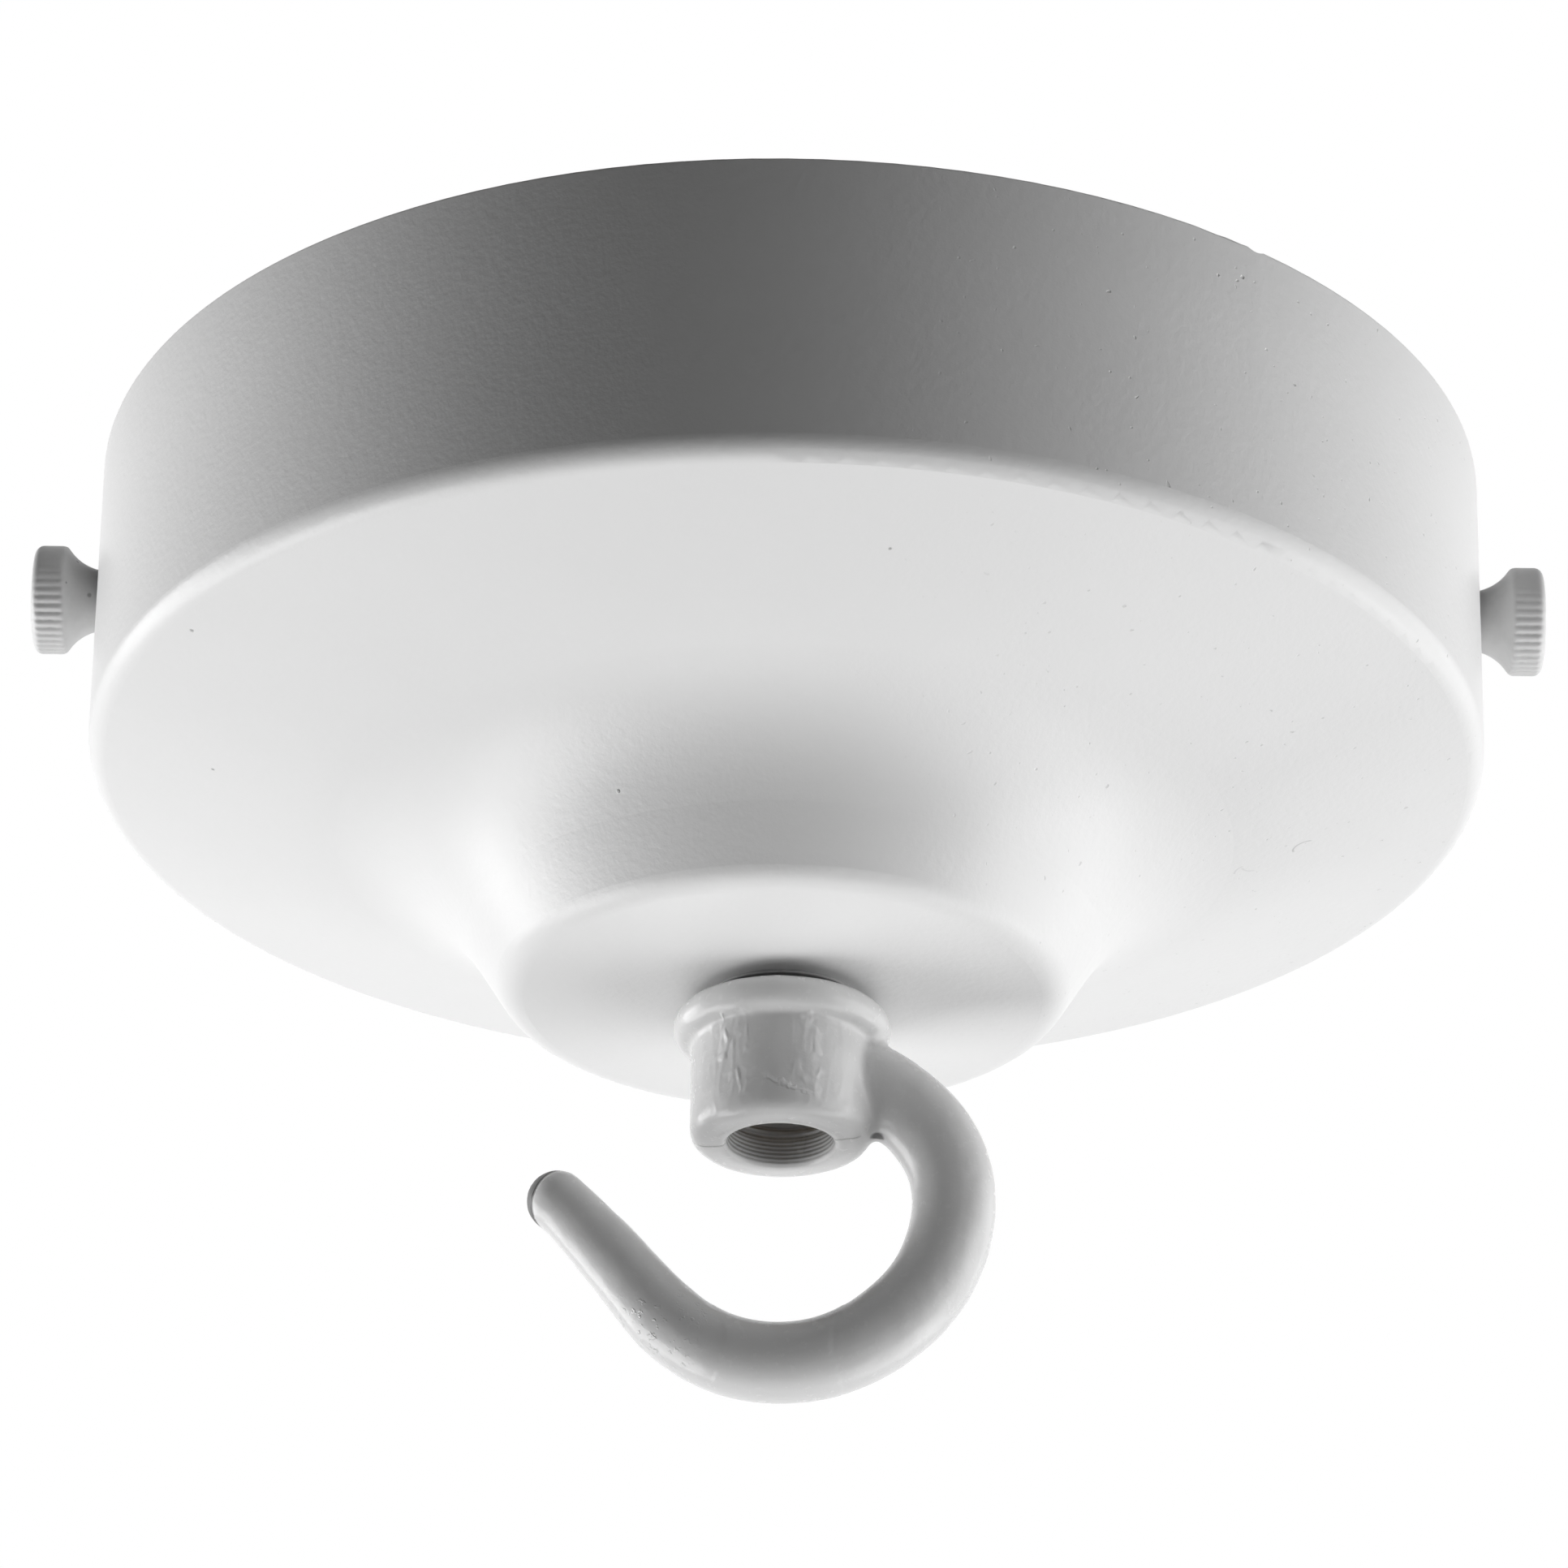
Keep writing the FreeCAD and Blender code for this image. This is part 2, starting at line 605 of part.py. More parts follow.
os.makedirs("parts", exist_ok=True)
for name, piece in PIECES.items():
    piece.exportStep(f"parts/{name}.step")
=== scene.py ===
import math

import bmesh
import bpy
from mathutils import Matrix, Vector, noise


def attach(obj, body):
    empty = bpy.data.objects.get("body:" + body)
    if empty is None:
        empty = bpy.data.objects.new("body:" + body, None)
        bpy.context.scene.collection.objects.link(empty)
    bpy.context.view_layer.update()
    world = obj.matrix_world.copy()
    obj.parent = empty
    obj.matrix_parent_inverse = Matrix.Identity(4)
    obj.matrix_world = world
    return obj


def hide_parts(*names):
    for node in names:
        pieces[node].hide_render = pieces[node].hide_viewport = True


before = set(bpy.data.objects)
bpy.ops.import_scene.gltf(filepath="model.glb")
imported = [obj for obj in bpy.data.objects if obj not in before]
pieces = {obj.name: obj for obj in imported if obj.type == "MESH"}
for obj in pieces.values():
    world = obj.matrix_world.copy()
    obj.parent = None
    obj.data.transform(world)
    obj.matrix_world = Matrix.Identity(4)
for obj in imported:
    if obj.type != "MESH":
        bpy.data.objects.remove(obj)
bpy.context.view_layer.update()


# Strap bracket: a strip of zinc-plated mild steel, punched with two slots and bent down at both
# ends. It is screwed flat to the ceiling first and carries everything else. The rolled strip keeps
# its long fine lines under the plating, and the bright zinc has dulled in soft patches.
MM_PER_M = 1000.0
BRIGHT_ZINC, DULL_ZINC = (0.60, 0.61, 0.62, 1.0), (0.52, 0.53, 0.53, 1.0)


class Value:
    """A socket that gives a number. Arithmetic on it adds Math nodes."""

    def __init__(self, finish, socket):
        self.finish = finish
        self.socket = socket

    def math(self, operation, first, second):
        return self.finish.add("ShaderNodeMath", {"operation": operation}, {0: first, 1: second})

    def __add__(self, other):
        return self.math("ADD", self, other)

    def __radd__(self, other):
        return self.math("ADD", other, self)

    def __sub__(self, other):
        return self.math("SUBTRACT", self, other)

    def __rsub__(self, other):
        return self.math("SUBTRACT", other, self)

    def __mul__(self, other):
        return self.math("MULTIPLY", self, other)

    def __rmul__(self, other):
        return self.math("MULTIPLY", other, self)

    def __truediv__(self, other):
        return self.math("DIVIDE", self, other)

    def __rtruediv__(self, other):
        return self.math("DIVIDE", other, self)

    def __abs__(self):
        return self.math("ABSOLUTE", self, 0.0)

    def __gt__(self, other):
        return self.math("GREATER_THAN", self, other)

    def __lt__(self, other):
        return self.math("LESS_THAN", self, other)


class Finish:
    """The finish of a piece: one node tree, with places on the piece counted in millimetres."""

    def __init__(self, name, library, shader):
        self.data = library.new(name)
        self.data.use_nodes = True
        self.nodes = self.data.node_tree.nodes
        self.links = self.data.node_tree.links
        self.shader = self.nodes[shader]
        metres = self.add("ShaderNodeTexCoord", {}, {}, "Object")
        self.place = self.add(
            "ShaderNodeVectorMath", {"operation": "SCALE"}, {0: metres, "Scale": MM_PER_M}
        )

    def add(self, kind, settings, sockets, output=0):
        node = self.nodes.new(kind)
        for name, setting in settings.items():
            setattr(node, name, setting)
        for name, value in sockets.items():
            self.join(value, node.inputs[name])
        return Value(self, node.outputs[output])

    def join(self, value, socket):
        if isinstance(value, Value):
            self.links.new(value.socket, socket)
        else:
            socket.default_value = value

    def give(self, **sockets):
        for name, value in sockets.items():
            self.join(value, self.shader.inputs[name.replace("_", " ")])

    def along(self, axis):
        return self.add("ShaderNodeSeparateXYZ", {}, {0: self.place}, axis)

    def mottle(self, size, detail, seed, stretch=(1.0, 1.0, 1.0)):
        """Soft lumps from 0 to 1, of a size in millimetres and drawn out by stretch."""
        drawn = self.add(
            "ShaderNodeVectorMath", {"operation": "DIVIDE"}, {0: self.place, 1: stretch}
        )
        return self.add(
            "ShaderNodeTexNoise",
            {"noise_dimensions": "4D", "noise_type": "FBM", "normalize": True},
            {"Vector": drawn, "W": seed, "Scale": 1.0 / size, "Detail": detail, "Roughness": 0.55},
        )

    def away_from(self, point, size=(1.0, 1.0, 1.0)):
        """Distance from a point, in units of size along each axis."""
        moved = self.add("ShaderNodeVectorMath", {"operation": "SUBTRACT"}, {0: self.place, 1: point})
        drawn = self.add("ShaderNodeVectorMath", {"operation": "DIVIDE"}, {0: moved, 1: size})
        return self.add("ShaderNodeVectorMath", {"operation": "LENGTH"}, {0: drawn}, "Value")

    def rise(self, value, low, high):
        """0 below low, 1 above high and a smooth climb between; falls where high is below low."""
        return self.add(
            "ShaderNodeMapRange",
            {"interpolation_type": "SMOOTHSTEP"},
            {"Value": value, "From Min": low, "From Max": high, "To Min": 0.0, "To Max": 1.0},
        )

    def blend(self, share, first, second):
        return self.add("ShaderNodeMix", {"data_type": "RGBA"}, {0: share, 6: first, 7: second}, 2)

    def relief(self, height, depth, under=None):
        """Bump of a height from 0 to 1, with its depth in millimetres."""
        sockets = {"Height": height, "Distance": depth / MM_PER_M, "Strength": 1.0}
        if under is not None:
            sockets["Normal"] = under
        return self.add("ShaderNodeBump", {}, sockets)


def wear(finish, *names):
    """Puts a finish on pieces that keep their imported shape."""
    for name in names:
        mesh = pieces[name].data
        mesh.materials.clear()
        mesh.materials.append(finish.data)


zinc_strip = Finish("zinc_strip", bpy.data.materials, "Principled BSDF")
rolled = zinc_strip.mottle(0.12, 3.0, 1.0, (60.0, 1.0, 1.0))
dulled = zinc_strip.rise(zinc_strip.mottle(7.0, 4.0, 2.0), 0.42, 0.62)
spangle = zinc_strip.mottle(1.6, 1.0, 3.0)
zinc_strip.give(
    Base_Color=zinc_strip.blend(dulled, BRIGHT_ZINC, DULL_ZINC),
    Metallic=1.0 - dulled * 0.12,
    Roughness=0.32 + dulled * 0.12 + rolled * 0.10 + spangle * 0.06,
    Normal=zinc_strip.relief(rolled, 0.006, zinc_strip.relief(spangle, 0.004)),
)
wear(zinc_strip, "strap_bracket")


# Terminal block: one moulding of natural polyamide with three screw towers a side, held under the
# strap by two screws. The mould was spark-finished, so its faces are faintly sandy, and the
# plastic is a little darker and more yellow where the flow fronts met.
PALE_POLYAMIDE, YELLOW_POLYAMIDE = (0.70, 0.66, 0.56, 1.0), (0.62, 0.57, 0.46, 1.0)

natural_polyamide = Finish("natural_polyamide", bpy.data.materials, "Principled BSDF")
sandy = natural_polyamide.mottle(0.25, 2.0, 4.0)
flow = natural_polyamide.mottle(9.0, 3.0, 5.0, (2.0, 0.8, 1.0))
natural_polyamide.give(
    Base_Color=natural_polyamide.blend(flow, PALE_POLYAMIDE, YELLOW_POLYAMIDE),
    Roughness=0.38 + sandy * 0.14,
    Normal=natural_polyamide.relief(sandy, 0.012),
    Subsurface_Weight=0.08,
    Subsurface_Radius=(0.002, 0.0016, 0.001),
)
wear(natural_polyamide, "terminal_body")


# Terminal sleeves and earth point: free-cutting brass, turned from bar. The sleeves lie in the wire
# ways of the block, and the earth screw with its cupped washer is tapped into the strap. Turning
# leaves fine rings, and handling has browned the metal in clouds.
BRIGHT_BRASS, BROWN_BRASS = (0.78, 0.58, 0.26, 1.0), (0.47, 0.31, 0.13, 1.0)

terminal_brass = Finish("terminal_brass", bpy.data.materials, "Principled BSDF")
rings = terminal_brass.mottle(0.10, 2.0, 6.0, (0.8, 40.0, 0.8))
browned = terminal_brass.rise(terminal_brass.mottle(3.0, 4.0, 7.0), 0.45, 0.70)
terminal_brass.give(
    Base_Color=terminal_brass.blend(browned, BRIGHT_BRASS, BROWN_BRASS),
    Metallic=1.0,
    Roughness=0.24 + browned * 0.22 + rings * 0.08,
    Normal=terminal_brass.relief(rings, 0.005),
)
wear(
    terminal_brass, "terminal_sleeve_live", "terminal_sleeve_neutral", "terminal_sleeve_earth",
    "earth_washer", "earth_screw",
)


# Clamping and fixing screws: small slotted steel screws, cold headed and blue zinc-plated. The
# clamping screws press the wires in the sleeves, the fixing screws go through the block into the
# strap. The plating is bright on the heads and greyer in patches.
BLUE_PLATING, GREY_PLATING = (0.60, 0.64, 0.68, 1.0), (0.47, 0.49, 0.51, 1.0)

zinc_screw = Finish("zinc_screw", bpy.data.materials, "Principled BSDF")
plated = zinc_screw.mottle(0.9, 3.0, 8.0)
scuffed = zinc_screw.rise(zinc_screw.mottle(0.35, 2.0, 9.0, (3.0, 1.0, 1.0)), 0.58, 0.70)
zinc_screw.give(
    Base_Color=zinc_screw.blend(plated, BLUE_PLATING, GREY_PLATING),
    Metallic=1.0,
    Roughness=0.22 + plated * 0.16 + scuffed * 0.15,
    Normal=zinc_screw.relief(scuffed, 0.006, zinc_screw.relief(plated, 0.008)),
)
wear(zinc_screw, "terminal_screws", "terminal_fixing_screws")


# Canopy cup: one deep-drawn steel sheet with a flat boss, powder coated satin white after pressing.
# The coat has a fine orange peel, a few specks of dust baked in, pits towards one side, a pinhole
# by the nick in the rim and hair marks underneath. Inside, the overspray is thin and grainier.
DUST = (
    ((-49.38, -28.62, -27.66), 0.22), ((-13.81, -24.83, -40.02), 0.20), ((8.09, -49.09, -29.83), 0.18),
    ((-48.82, -7.23, -29.94), 0.20), ((31.0, 22.0, -31.2), 0.18), ((-24.0, 51.0, -29.2), 0.20),
)
PINHOLES = (((36.80, -47.37, -3.26), 0.24), ((34.7, -48.9, -4.0), 0.16), ((-52.0, 29.9, -9.0), 0.20))
HAIRS = (
    ((44.90, 2.04), 1.12, (44.22, 1.35, -31.45), 1.30, 0.32),
    ((40.11, 3.92), 1.30, (39.05, 3.35, -32.95), 0.80, 0.16),
    ((41.04, 2.83), 1.62, (39.90, 3.90, -32.70), 1.00, 0.13),
)
HAIR_EDGE, HAIR_CORE = 0.15, 0.03
PITS_BEGIN, PITS_FULL = 0.0, 30.0
WALL_OUTSIDE, WALL_INSIDE = 59.7, 59.3
RIM_SHADE_LOW, RIM_SHADE_HIGH = -11.0, -1.0
IGNORED = 1000000.0
FROM_UPRIGHT = (1.0, 1.0, IGNORED)


def grey(level):
    return (level, level, level, 1.0)


# The darkest coat colour serves dust, hairs, pinholes and pits, and also the painted shade near the
# rim.
COAT_WHITE, COAT_CLOUD, COAT_THIN, COAT_DIRT_AND_SHADE = grey(0.80), grey(0.765), grey(0.52), grey(0.16)

white_powder_coat = Finish("white_powder_coat", bpy.data.materials, "Principled BSDF")
peel = white_powder_coat.mottle(0.68, 2.0, 10.0)
grain = white_powder_coat.mottle(0.16, 2.0, 11.0)
cloud = white_powder_coat.mottle(16.0, 3.0, 12.0)
pitted = white_powder_coat.rise(white_powder_coat.along(0), PITS_BEGIN, PITS_FULL)
pits = white_powder_coat.rise(white_powder_coat.mottle(0.50, 0.0, 13.0), 0.78, 0.86) * pitted
dust = 0.0
for point, size in DUST:
    dust = dust + white_powder_coat.rise(white_powder_coat.away_from(point), size, 0.4 * size)
pinhole = 0.0
for point, size in PINHOLES:
    pinhole = pinhole + white_powder_coat.rise(white_powder_coat.away_from(point), size, 0.2 * size)
hair = 0.0
for (x, y), bend, middle, reach, weight in HAIRS:
    strand = abs(white_powder_coat.away_from((x, y, 0.0), FROM_UPRIGHT) - bend)
    near = white_powder_coat.rise(white_powder_coat.away_from(middle), reach, 0.8 * reach)
    hair = hair + white_powder_coat.rise(strand, HAIR_EDGE, HAIR_CORE) * near * weight
facing = white_powder_coat.add("ShaderNodeNewGeometry", {}, {}, "True Normal")
facing_up = white_powder_coat.add("ShaderNodeSeparateXYZ", {}, {0: facing}, 2)
from_axis = white_powder_coat.away_from((0.0, 0.0, 0.0), FROM_UPRIGHT)
inner_wall = white_powder_coat.rise(from_axis, WALL_OUTSIDE, WALL_INSIDE) * (abs(facing_up) < 0.1)
inside = white_powder_coat.rise(facing_up, 0.1, 0.3) + inner_wall
# Painted shade: the coat is drawn darker towards the top of the wall by the rim, where less light
# falls.
rim = white_powder_coat.rise(white_powder_coat.along(2), RIM_SHADE_LOW, RIM_SHADE_HIGH)
thin = white_powder_coat.rise(white_powder_coat.mottle(0.6, 4.0, 14.0), 0.40, 0.70)
bright_white = white_powder_coat.blend(cloud, COAT_WHITE, COAT_CLOUD)
white_powder_coat.give(
    Base_Color=white_powder_coat.blend(
        dust * 0.55 + hair + pinhole * 0.25 + rim * 0.06 + pits * 0.15,
        white_powder_coat.blend(inside * thin * 0.45, bright_white, COAT_THIN),
        COAT_DIRT_AND_SHADE,
    ),
    Roughness=0.30 + grain * 0.10 + inside * 0.22,
    Normal=white_powder_coat.relief(
        peel * 0.86 + grain * 0.14, 0.042,
        white_powder_coat.relief(dust - pinhole + hair - pits * 0.6, 0.08),
    ),
    Specular_IOR_Level=0.42,
)
wear(white_powder_coat, "canopy_cup")


# Threaded nipple: brass tube with an M10x1 thread over its whole length. It passes through the
# boss and ties the cup, the hook, the nut and the bush together. The thread is cut here as a
# real helix, with flats at crest and root and a plain start at each end.
PITCH, ROWS_PER_TURN = 1.0, 16
ROOT_FLAT, FLANK = 0.0625, 0.3125
RUN_OUT = 0.5
NIPPLE_LOW, NIPPLE_HIGH = -55.0, -39.0
NIPPLE_CREST, NIPPLE_ROOT, NIPPLE_BORE, NIPPLE_AROUND = 4.95, 4.42, 3.75, 72
SHARP_FROM = math.radians(38.0)
TUBE_BRIGHT, TUBE_BROWN = (0.76, 0.56, 0.25, 1.0), (0.44, 0.29, 0.12, 1.0)


def flat_vee(turns):
    """Height of a thread from 0 in its root to 1 on its crest, for a place counted in turns."""
    from_root = abs(turns % 1.0 - 0.5)
    return min(1.0, max(0.0, (0.5 - from_root - ROOT_FLAT) / FLANK))


def threaded_wall(shell, low, high, plain, deep, around, lead):
    """Adds a threaded wall that starts from a plain radius over its lead. Returns its end rings."""
    rows = []
    steps = round((high - low) / PITCH * ROWS_PER_TURN)
    for step in range(steps + 1):
        height = low + (high - low) * step / steps
        share = min(1.0, (height - low) / lead, (high - height) / RUN_OUT)
        row = []
        for place in range(around):
            turn = place / around
            radius = plain + (deep - plain) * flat_vee(height / PITCH - turn) * share
            angle = 2.0 * math.pi * turn
            row.append(shell.verts.new((
                radius / MM_PER_M * math.cos(angle),
                radius / MM_PER_M * math.sin(angle),
                height / MM_PER_M,
            )))
        rows.append(row)
    for lower, upper in zip(rows, rows[1:]):
        bridge(shell, lower, upper)
    return rows[0], rows[-1]


def ring(shell, radius, height, around):
    return [
        shell.verts.new((
            radius / MM_PER_M * math.cos(2.0 * math.pi * place / around),
            radius / MM_PER_M * math.sin(2.0 * math.pi * place / around),
            height / MM_PER_M,
        ))
        for place in range(around)
    ]


def bridge(shell, lower, upper):
    """Wall of four-sided faces from one ring up to the next, facing away from the axis."""
    for place in range(len(lower)):
        after = (place + 1) % len(lower)
        shell.faces.new((lower[place], lower[after], upper[after], upper[place]))


def made(name, shell, finish, body, slot, *replaced):
    """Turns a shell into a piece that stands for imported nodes."""
    mesh = bpy.data.meshes.new(name)
    shell.to_mesh(mesh)
    shell.free()
    mesh.polygons.foreach_set("use_smooth", [True] * len(mesh.polygons))
    mesh.set_sharp_from_angle(angle=SHARP_FROM)
    mesh.materials.clear()
    mesh.materials.append(finish.data)
    piece = bpy.data.objects.new(name, mesh)
    bpy.context.scene.collection.objects.link(piece)
    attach(piece, body)
    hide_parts(*replaced)


brass_tube = Finish("brass_tube", bpy.data.materials, "Principled BSDF")
tool_marks = brass_tube.mottle(0.08, 2.0, 15.0, (1.0, 1.0, 0.25))
tarnish = brass_tube.rise(brass_tube.mottle(2.2, 4.0, 16.0), 0.42, 0.68)
brass_tube.give(
    Base_Color=brass_tube.blend(tarnish, TUBE_BRIGHT, TUBE_BROWN),
    Metallic=1.0,
    Roughness=0.26 + tarnish * 0.20 + tool_marks * 0.06,
    Normal=brass_tube.relief(tool_marks, 0.006),
)
shell = bmesh.new()
foot, head = threaded_wall(
    shell, NIPPLE_LOW, NIPPLE_HIGH, NIPPLE_ROOT, NIPPLE_CREST, NIPPLE_AROUND, RUN_OUT
)
bore_foot = ring(shell, NIPPLE_BORE, NIPPLE_LOW, NIPPLE_AROUND)
bore_head = ring(shell, NIPPLE_BORE, NIPPLE_HIGH, NIPPLE_AROUND)
bridge(shell, head, bore_head)
bridge(shell, bore_head, bore_foot)
bridge(shell, bore_foot, foot)
made("nipple_tube", shell, brass_tube, "rose", "brass_tube", "threaded_nipple")


# Toothed lock washer: hardened spring steel, stamped and tempered blue-black, pressed between the
# boss and the nut. Its teeth are twisted, and their corners are rubbed bright.
TEMPER_BLUE, TEMPER_BROWN = (0.13, 0.14, 0.18, 1.0), (0.20, 0.17, 0.15, 1.0)
RUBBED_STEEL = grey(0.48)

spring_steel = Finish("spring_steel", bpy.data.materials, "Principled BSDF")
temper = spring_steel.mottle(2.5, 3.0, 17.0)
rubbed = spring_steel.rise(spring_steel.mottle(0.5, 3.0, 18.0), 0.60, 0.74)
spring_steel.give(
    Base_Color=spring_steel.blend(
        rubbed, spring_steel.blend(temper, TEMPER_BLUE, TEMPER_BROWN), RUBBED_STEEL
    ),
    Metallic=1.0,
    Roughness=0.40 - rubbed * 0.12 + temper * 0.08,
    Normal=spring_steel.relief(temper, 0.01),
)
wear(spring_steel, "tooth_washer")


# Lock nut: thin hexagon nut of zinc-plated steel, yellow passivated, tightened on the nipple
# against the washer. The plating shimmers from yellow to pink and is scraped along the corners.
NUT_YELLOW, NUT_PINK = (0.66, 0.58, 0.34, 1.0), (0.58, 0.50, 0.45, 1.0)
SCRAPED_ZINC = grey(0.60)

zinc_nut = Finish("zinc_nut", bpy.data.materials, "Principled BSDF")
shimmer = zinc_nut.mottle(2.8, 2.0, 19.0)
scraped = zinc_nut.rise(zinc_nut.mottle(0.3, 3.0, 20.0, (1.0, 1.0, 3.0)), 0.57, 0.68)
zinc_nut.give(
    Base_Color=zinc_nut.blend(
        scraped * 0.7, zinc_nut.blend(shimmer, NUT_YELLOW, NUT_PINK), SCRAPED_ZINC
    ),
    Metallic=1.0,
    Roughness=0.28 + shimmer * 0.14 + scraped * 0.08,
    Normal=zinc_nut.relief(scraped, 0.008),
)
wear(zinc_nut, "lock_nut")


# Nipple bush: white nylon, injection moulded, pushed into the top of the nipple so that its sharp
# end can't cut the flex. The skin is smooth with a faint waviness.
BUSH_WHITE, BUSH_SHADE = grey(0.80), (0.75, 0.75, 0.72, 1.0)

white_nylon = Finish("white_nylon", bpy.data.materials, "Principled BSDF")
waviness = white_nylon.mottle(1.4, 2.0, 21.0)
white_nylon.give(
    Base_Color=white_nylon.blend(waviness, BUSH_WHITE, BUSH_SHADE),
    Roughness=0.30 + waviness * 0.12,
    Normal=white_nylon.relief(waviness, 0.015),
    Subsurface_Weight=0.08,
    Subsurface_Radius=(0.002, 0.002, 0.0018),
)
wear(white_nylon, "nipple_bush")


# Hook: a zinc casting of collar, barrel and bent rod in one, enamelled white and screwed up the
# nipple to the boss. The enamel is thick, so edges are soft, runs and wrinkles stand on the barrel,
# and a pit was left at the root. The bore and the tip's far side show bare metal. The neck is drawn
# near black as painted shade in the gap under the boss, and the crests of the runs and creases are
# drawn lighter as a painted highlight.
BORE_LOW, BORE_HIGH, BORE_CORE, BORE_DEEP = -58.6, -55.4, 4.50, 5.0
BORE_AROUND, BORE_LEAD, BORE_JOIN, BORE_REACH = 112, 2.0, 0.15, 4.8
LIP = ((4.78, -61.0), (5.40, -61.0), (5.40, -60.0), (4.46, -60.0))
SKIN, SKIN_SMOOTHED = 0.22, 5
BORE_CLEAR, BARREL_CLEAR, COLLAR_HEAD, BARREL_FOOT = 5.5, 8.8, -48.6, -60.3
LUMPS, LUMP_LEVEL = ((0.045, 2.6), (0.02, 1.1)), 0.6
DRIPS, DRIP_LEAST, DRIP_HEAD, DRIP_HEIGHT = ((-4.5, 1.3), (2.2, 1.2)), 0.35, -51.5, 0.05
STREAK_SIZE = (0.8, 0.8, 3.2)
LEFT_CREASES, RIGHT_CREASES = -4.3, 2.3
RUN_HEIGHT, RUN_FALL, RUN_WANDER = -58.25, 0.40, 1.7
RUN_PLACE, RUN_SIZE = (0.4, -7.6, -58.4), (3.0, 3.0, 1.7)
BITS_PLACE, BITS_SIZE = (-9.5, -0.5, -78.0), (7.0, 4.0, 5.0)
PIT_PLACE, PIT_SIZE = (8.15, -0.6, -60.15), (0.75, 0.6, 0.5)
SEAM_BACK, SEAM_TURN = -0.8, 0.171
TOOL_RING = 0.19
TIP, TIP_WAY, TIP_SET_BACK = (-18.62, 0.0, -66.25), Vector((-0.629, 0.610, 0.484)), 0.20
ENAMEL_WHITE, ENAMEL_CLOUD, ENAMEL_RIDGE_HIGHLIGHT = grey(0.705), grey(0.675), grey(0.82)
BORE_BRIGHT, BORE_GREY, TIP_BARE, CAST_DARK_AND_GAP_SHADE = grey(0.58), grey(0.36), grey(0.14), grey(0.05)

white_enamel = Finish("white_enamel", bpy.data.materials, "Principled BSDF")
across, back, up = (white_enamel.along(axis) for axis in range(3))
from_axis = white_enamel.away_from((0.0, 0.0, 0.0), FROM_UPRIGHT)
lumps = white_enamel.mottle(3.2, 2.0, 22.0)
pimples = white_enamel.mottle(0.7, 3.0, 23.0)
on_barrel = white_enamel.rise(from_axis, 8.6, 8.2) * white_enamel.rise(up, -60.6, -59.8)
in_drips = (
    white_enamel.rise(abs(across - LEFT_CREASES), 2.2, 0.5)
    + white_enamel.rise(abs(across - RIGHT_CREASES), 2.0, 0.4)
)
folds = white_enamel.mottle(2.4, 2.0, 24.0, (1.0, 1.0, 2.4))
broken = white_enamel.rise(white_enamel.mottle(1.4, 1.0, 29.0), 0.42, 0.66)
creases = white_enamel.rise(abs(folds - 0.5), 0.10, 0.0) * broken * on_barrel * (0.08 + in_drips)
wander = (white_enamel.mottle(1.1, 2.0, 25.0) - 0.5) * RUN_WANDER
from_run = abs(up - RUN_HEIGHT + across * RUN_FALL + wander)
near_run = white_enamel.rise(white_enamel.away_from(RUN_PLACE, RUN_SIZE), 1.0, 0.5)
run = white_enamel.rise(from_run, 0.34, 0.0) * near_run
near_bits = white_enamel.rise(white_enamel.away_from(BITS_PLACE, BITS_SIZE), 1.0, 0.5)
bits = white_enamel.rise(white_enamel.mottle(0.55, 2.0, 30.0), 0.58, 0.70) * near_bits
in_bore = white_enamel.rise(from_axis, 4.98, 4.90) * white_enamel.rise(up, -60.95, -60.35)
# Painted shade: the lower part of the neck is drawn near black for the shade in the gap under the
# boss.
neck = white_enamel.rise(up, -48.80, -48.60) * white_enamel.rise(up, -47.62, -47.95)
tool_rings = white_enamel.add(
    "ShaderNodeMath", {"operation": "PINGPONG"}, {0: up, 1: TOOL_RING}
) / TOOL_RING
on_foot = (
    white_enamel.rise(up, -60.6, -60.85) * (1.0 - in_bore)
    * white_enamel.rise(from_axis, 8.4, 8.0) * white_enamel.rise(up, -61.6, -61.3)
)
seam = white_enamel.rise(abs(back - SEAM_BACK + across * SEAM_TURN), 0.22, 0.05) * on_foot
pit = white_enamel.rise(white_enamel.away_from(PIT_PLACE, PIT_SIZE), 1.0, 0.45)
from_tip = white_enamel.add(
    "ShaderNodeVectorMath", {"operation": "SUBTRACT"}, {0: white_enamel.place, 1: TIP}
)
beyond_tip = white_enamel.add(
    "ShaderNodeVectorMath", {"operation": "DOT_PRODUCT"},
    {0: from_tip, 1: tuple(TIP_WAY.normalized())}, "Value",
) - TIP_SET_BACK
near_tip = white_enamel.rise(white_enamel.away_from(TIP), 6.5, 5.5)
tip_end = white_enamel.rise(beyond_tip, 0.0, 0.12) * near_tip
tip_ring = white_enamel.rise(abs(beyond_tip), 0.20, 0.05) * near_tip
bare = white_enamel.blend(pimples * 0.3 + tool_rings * 0.7, BORE_BRIGHT, BORE_GREY)
even_enamel = white_enamel.blend(lumps, ENAMEL_WHITE, ENAMEL_CLOUD)
# Painted highlight: the enamel is drawn lighter along the runs and creases, as if their crests caught
# the light.
painted = white_enamel.blend(run * 0.5 + creases * 0.5, even_enamel, ENAMEL_RIDGE_HIGHLIGHT)
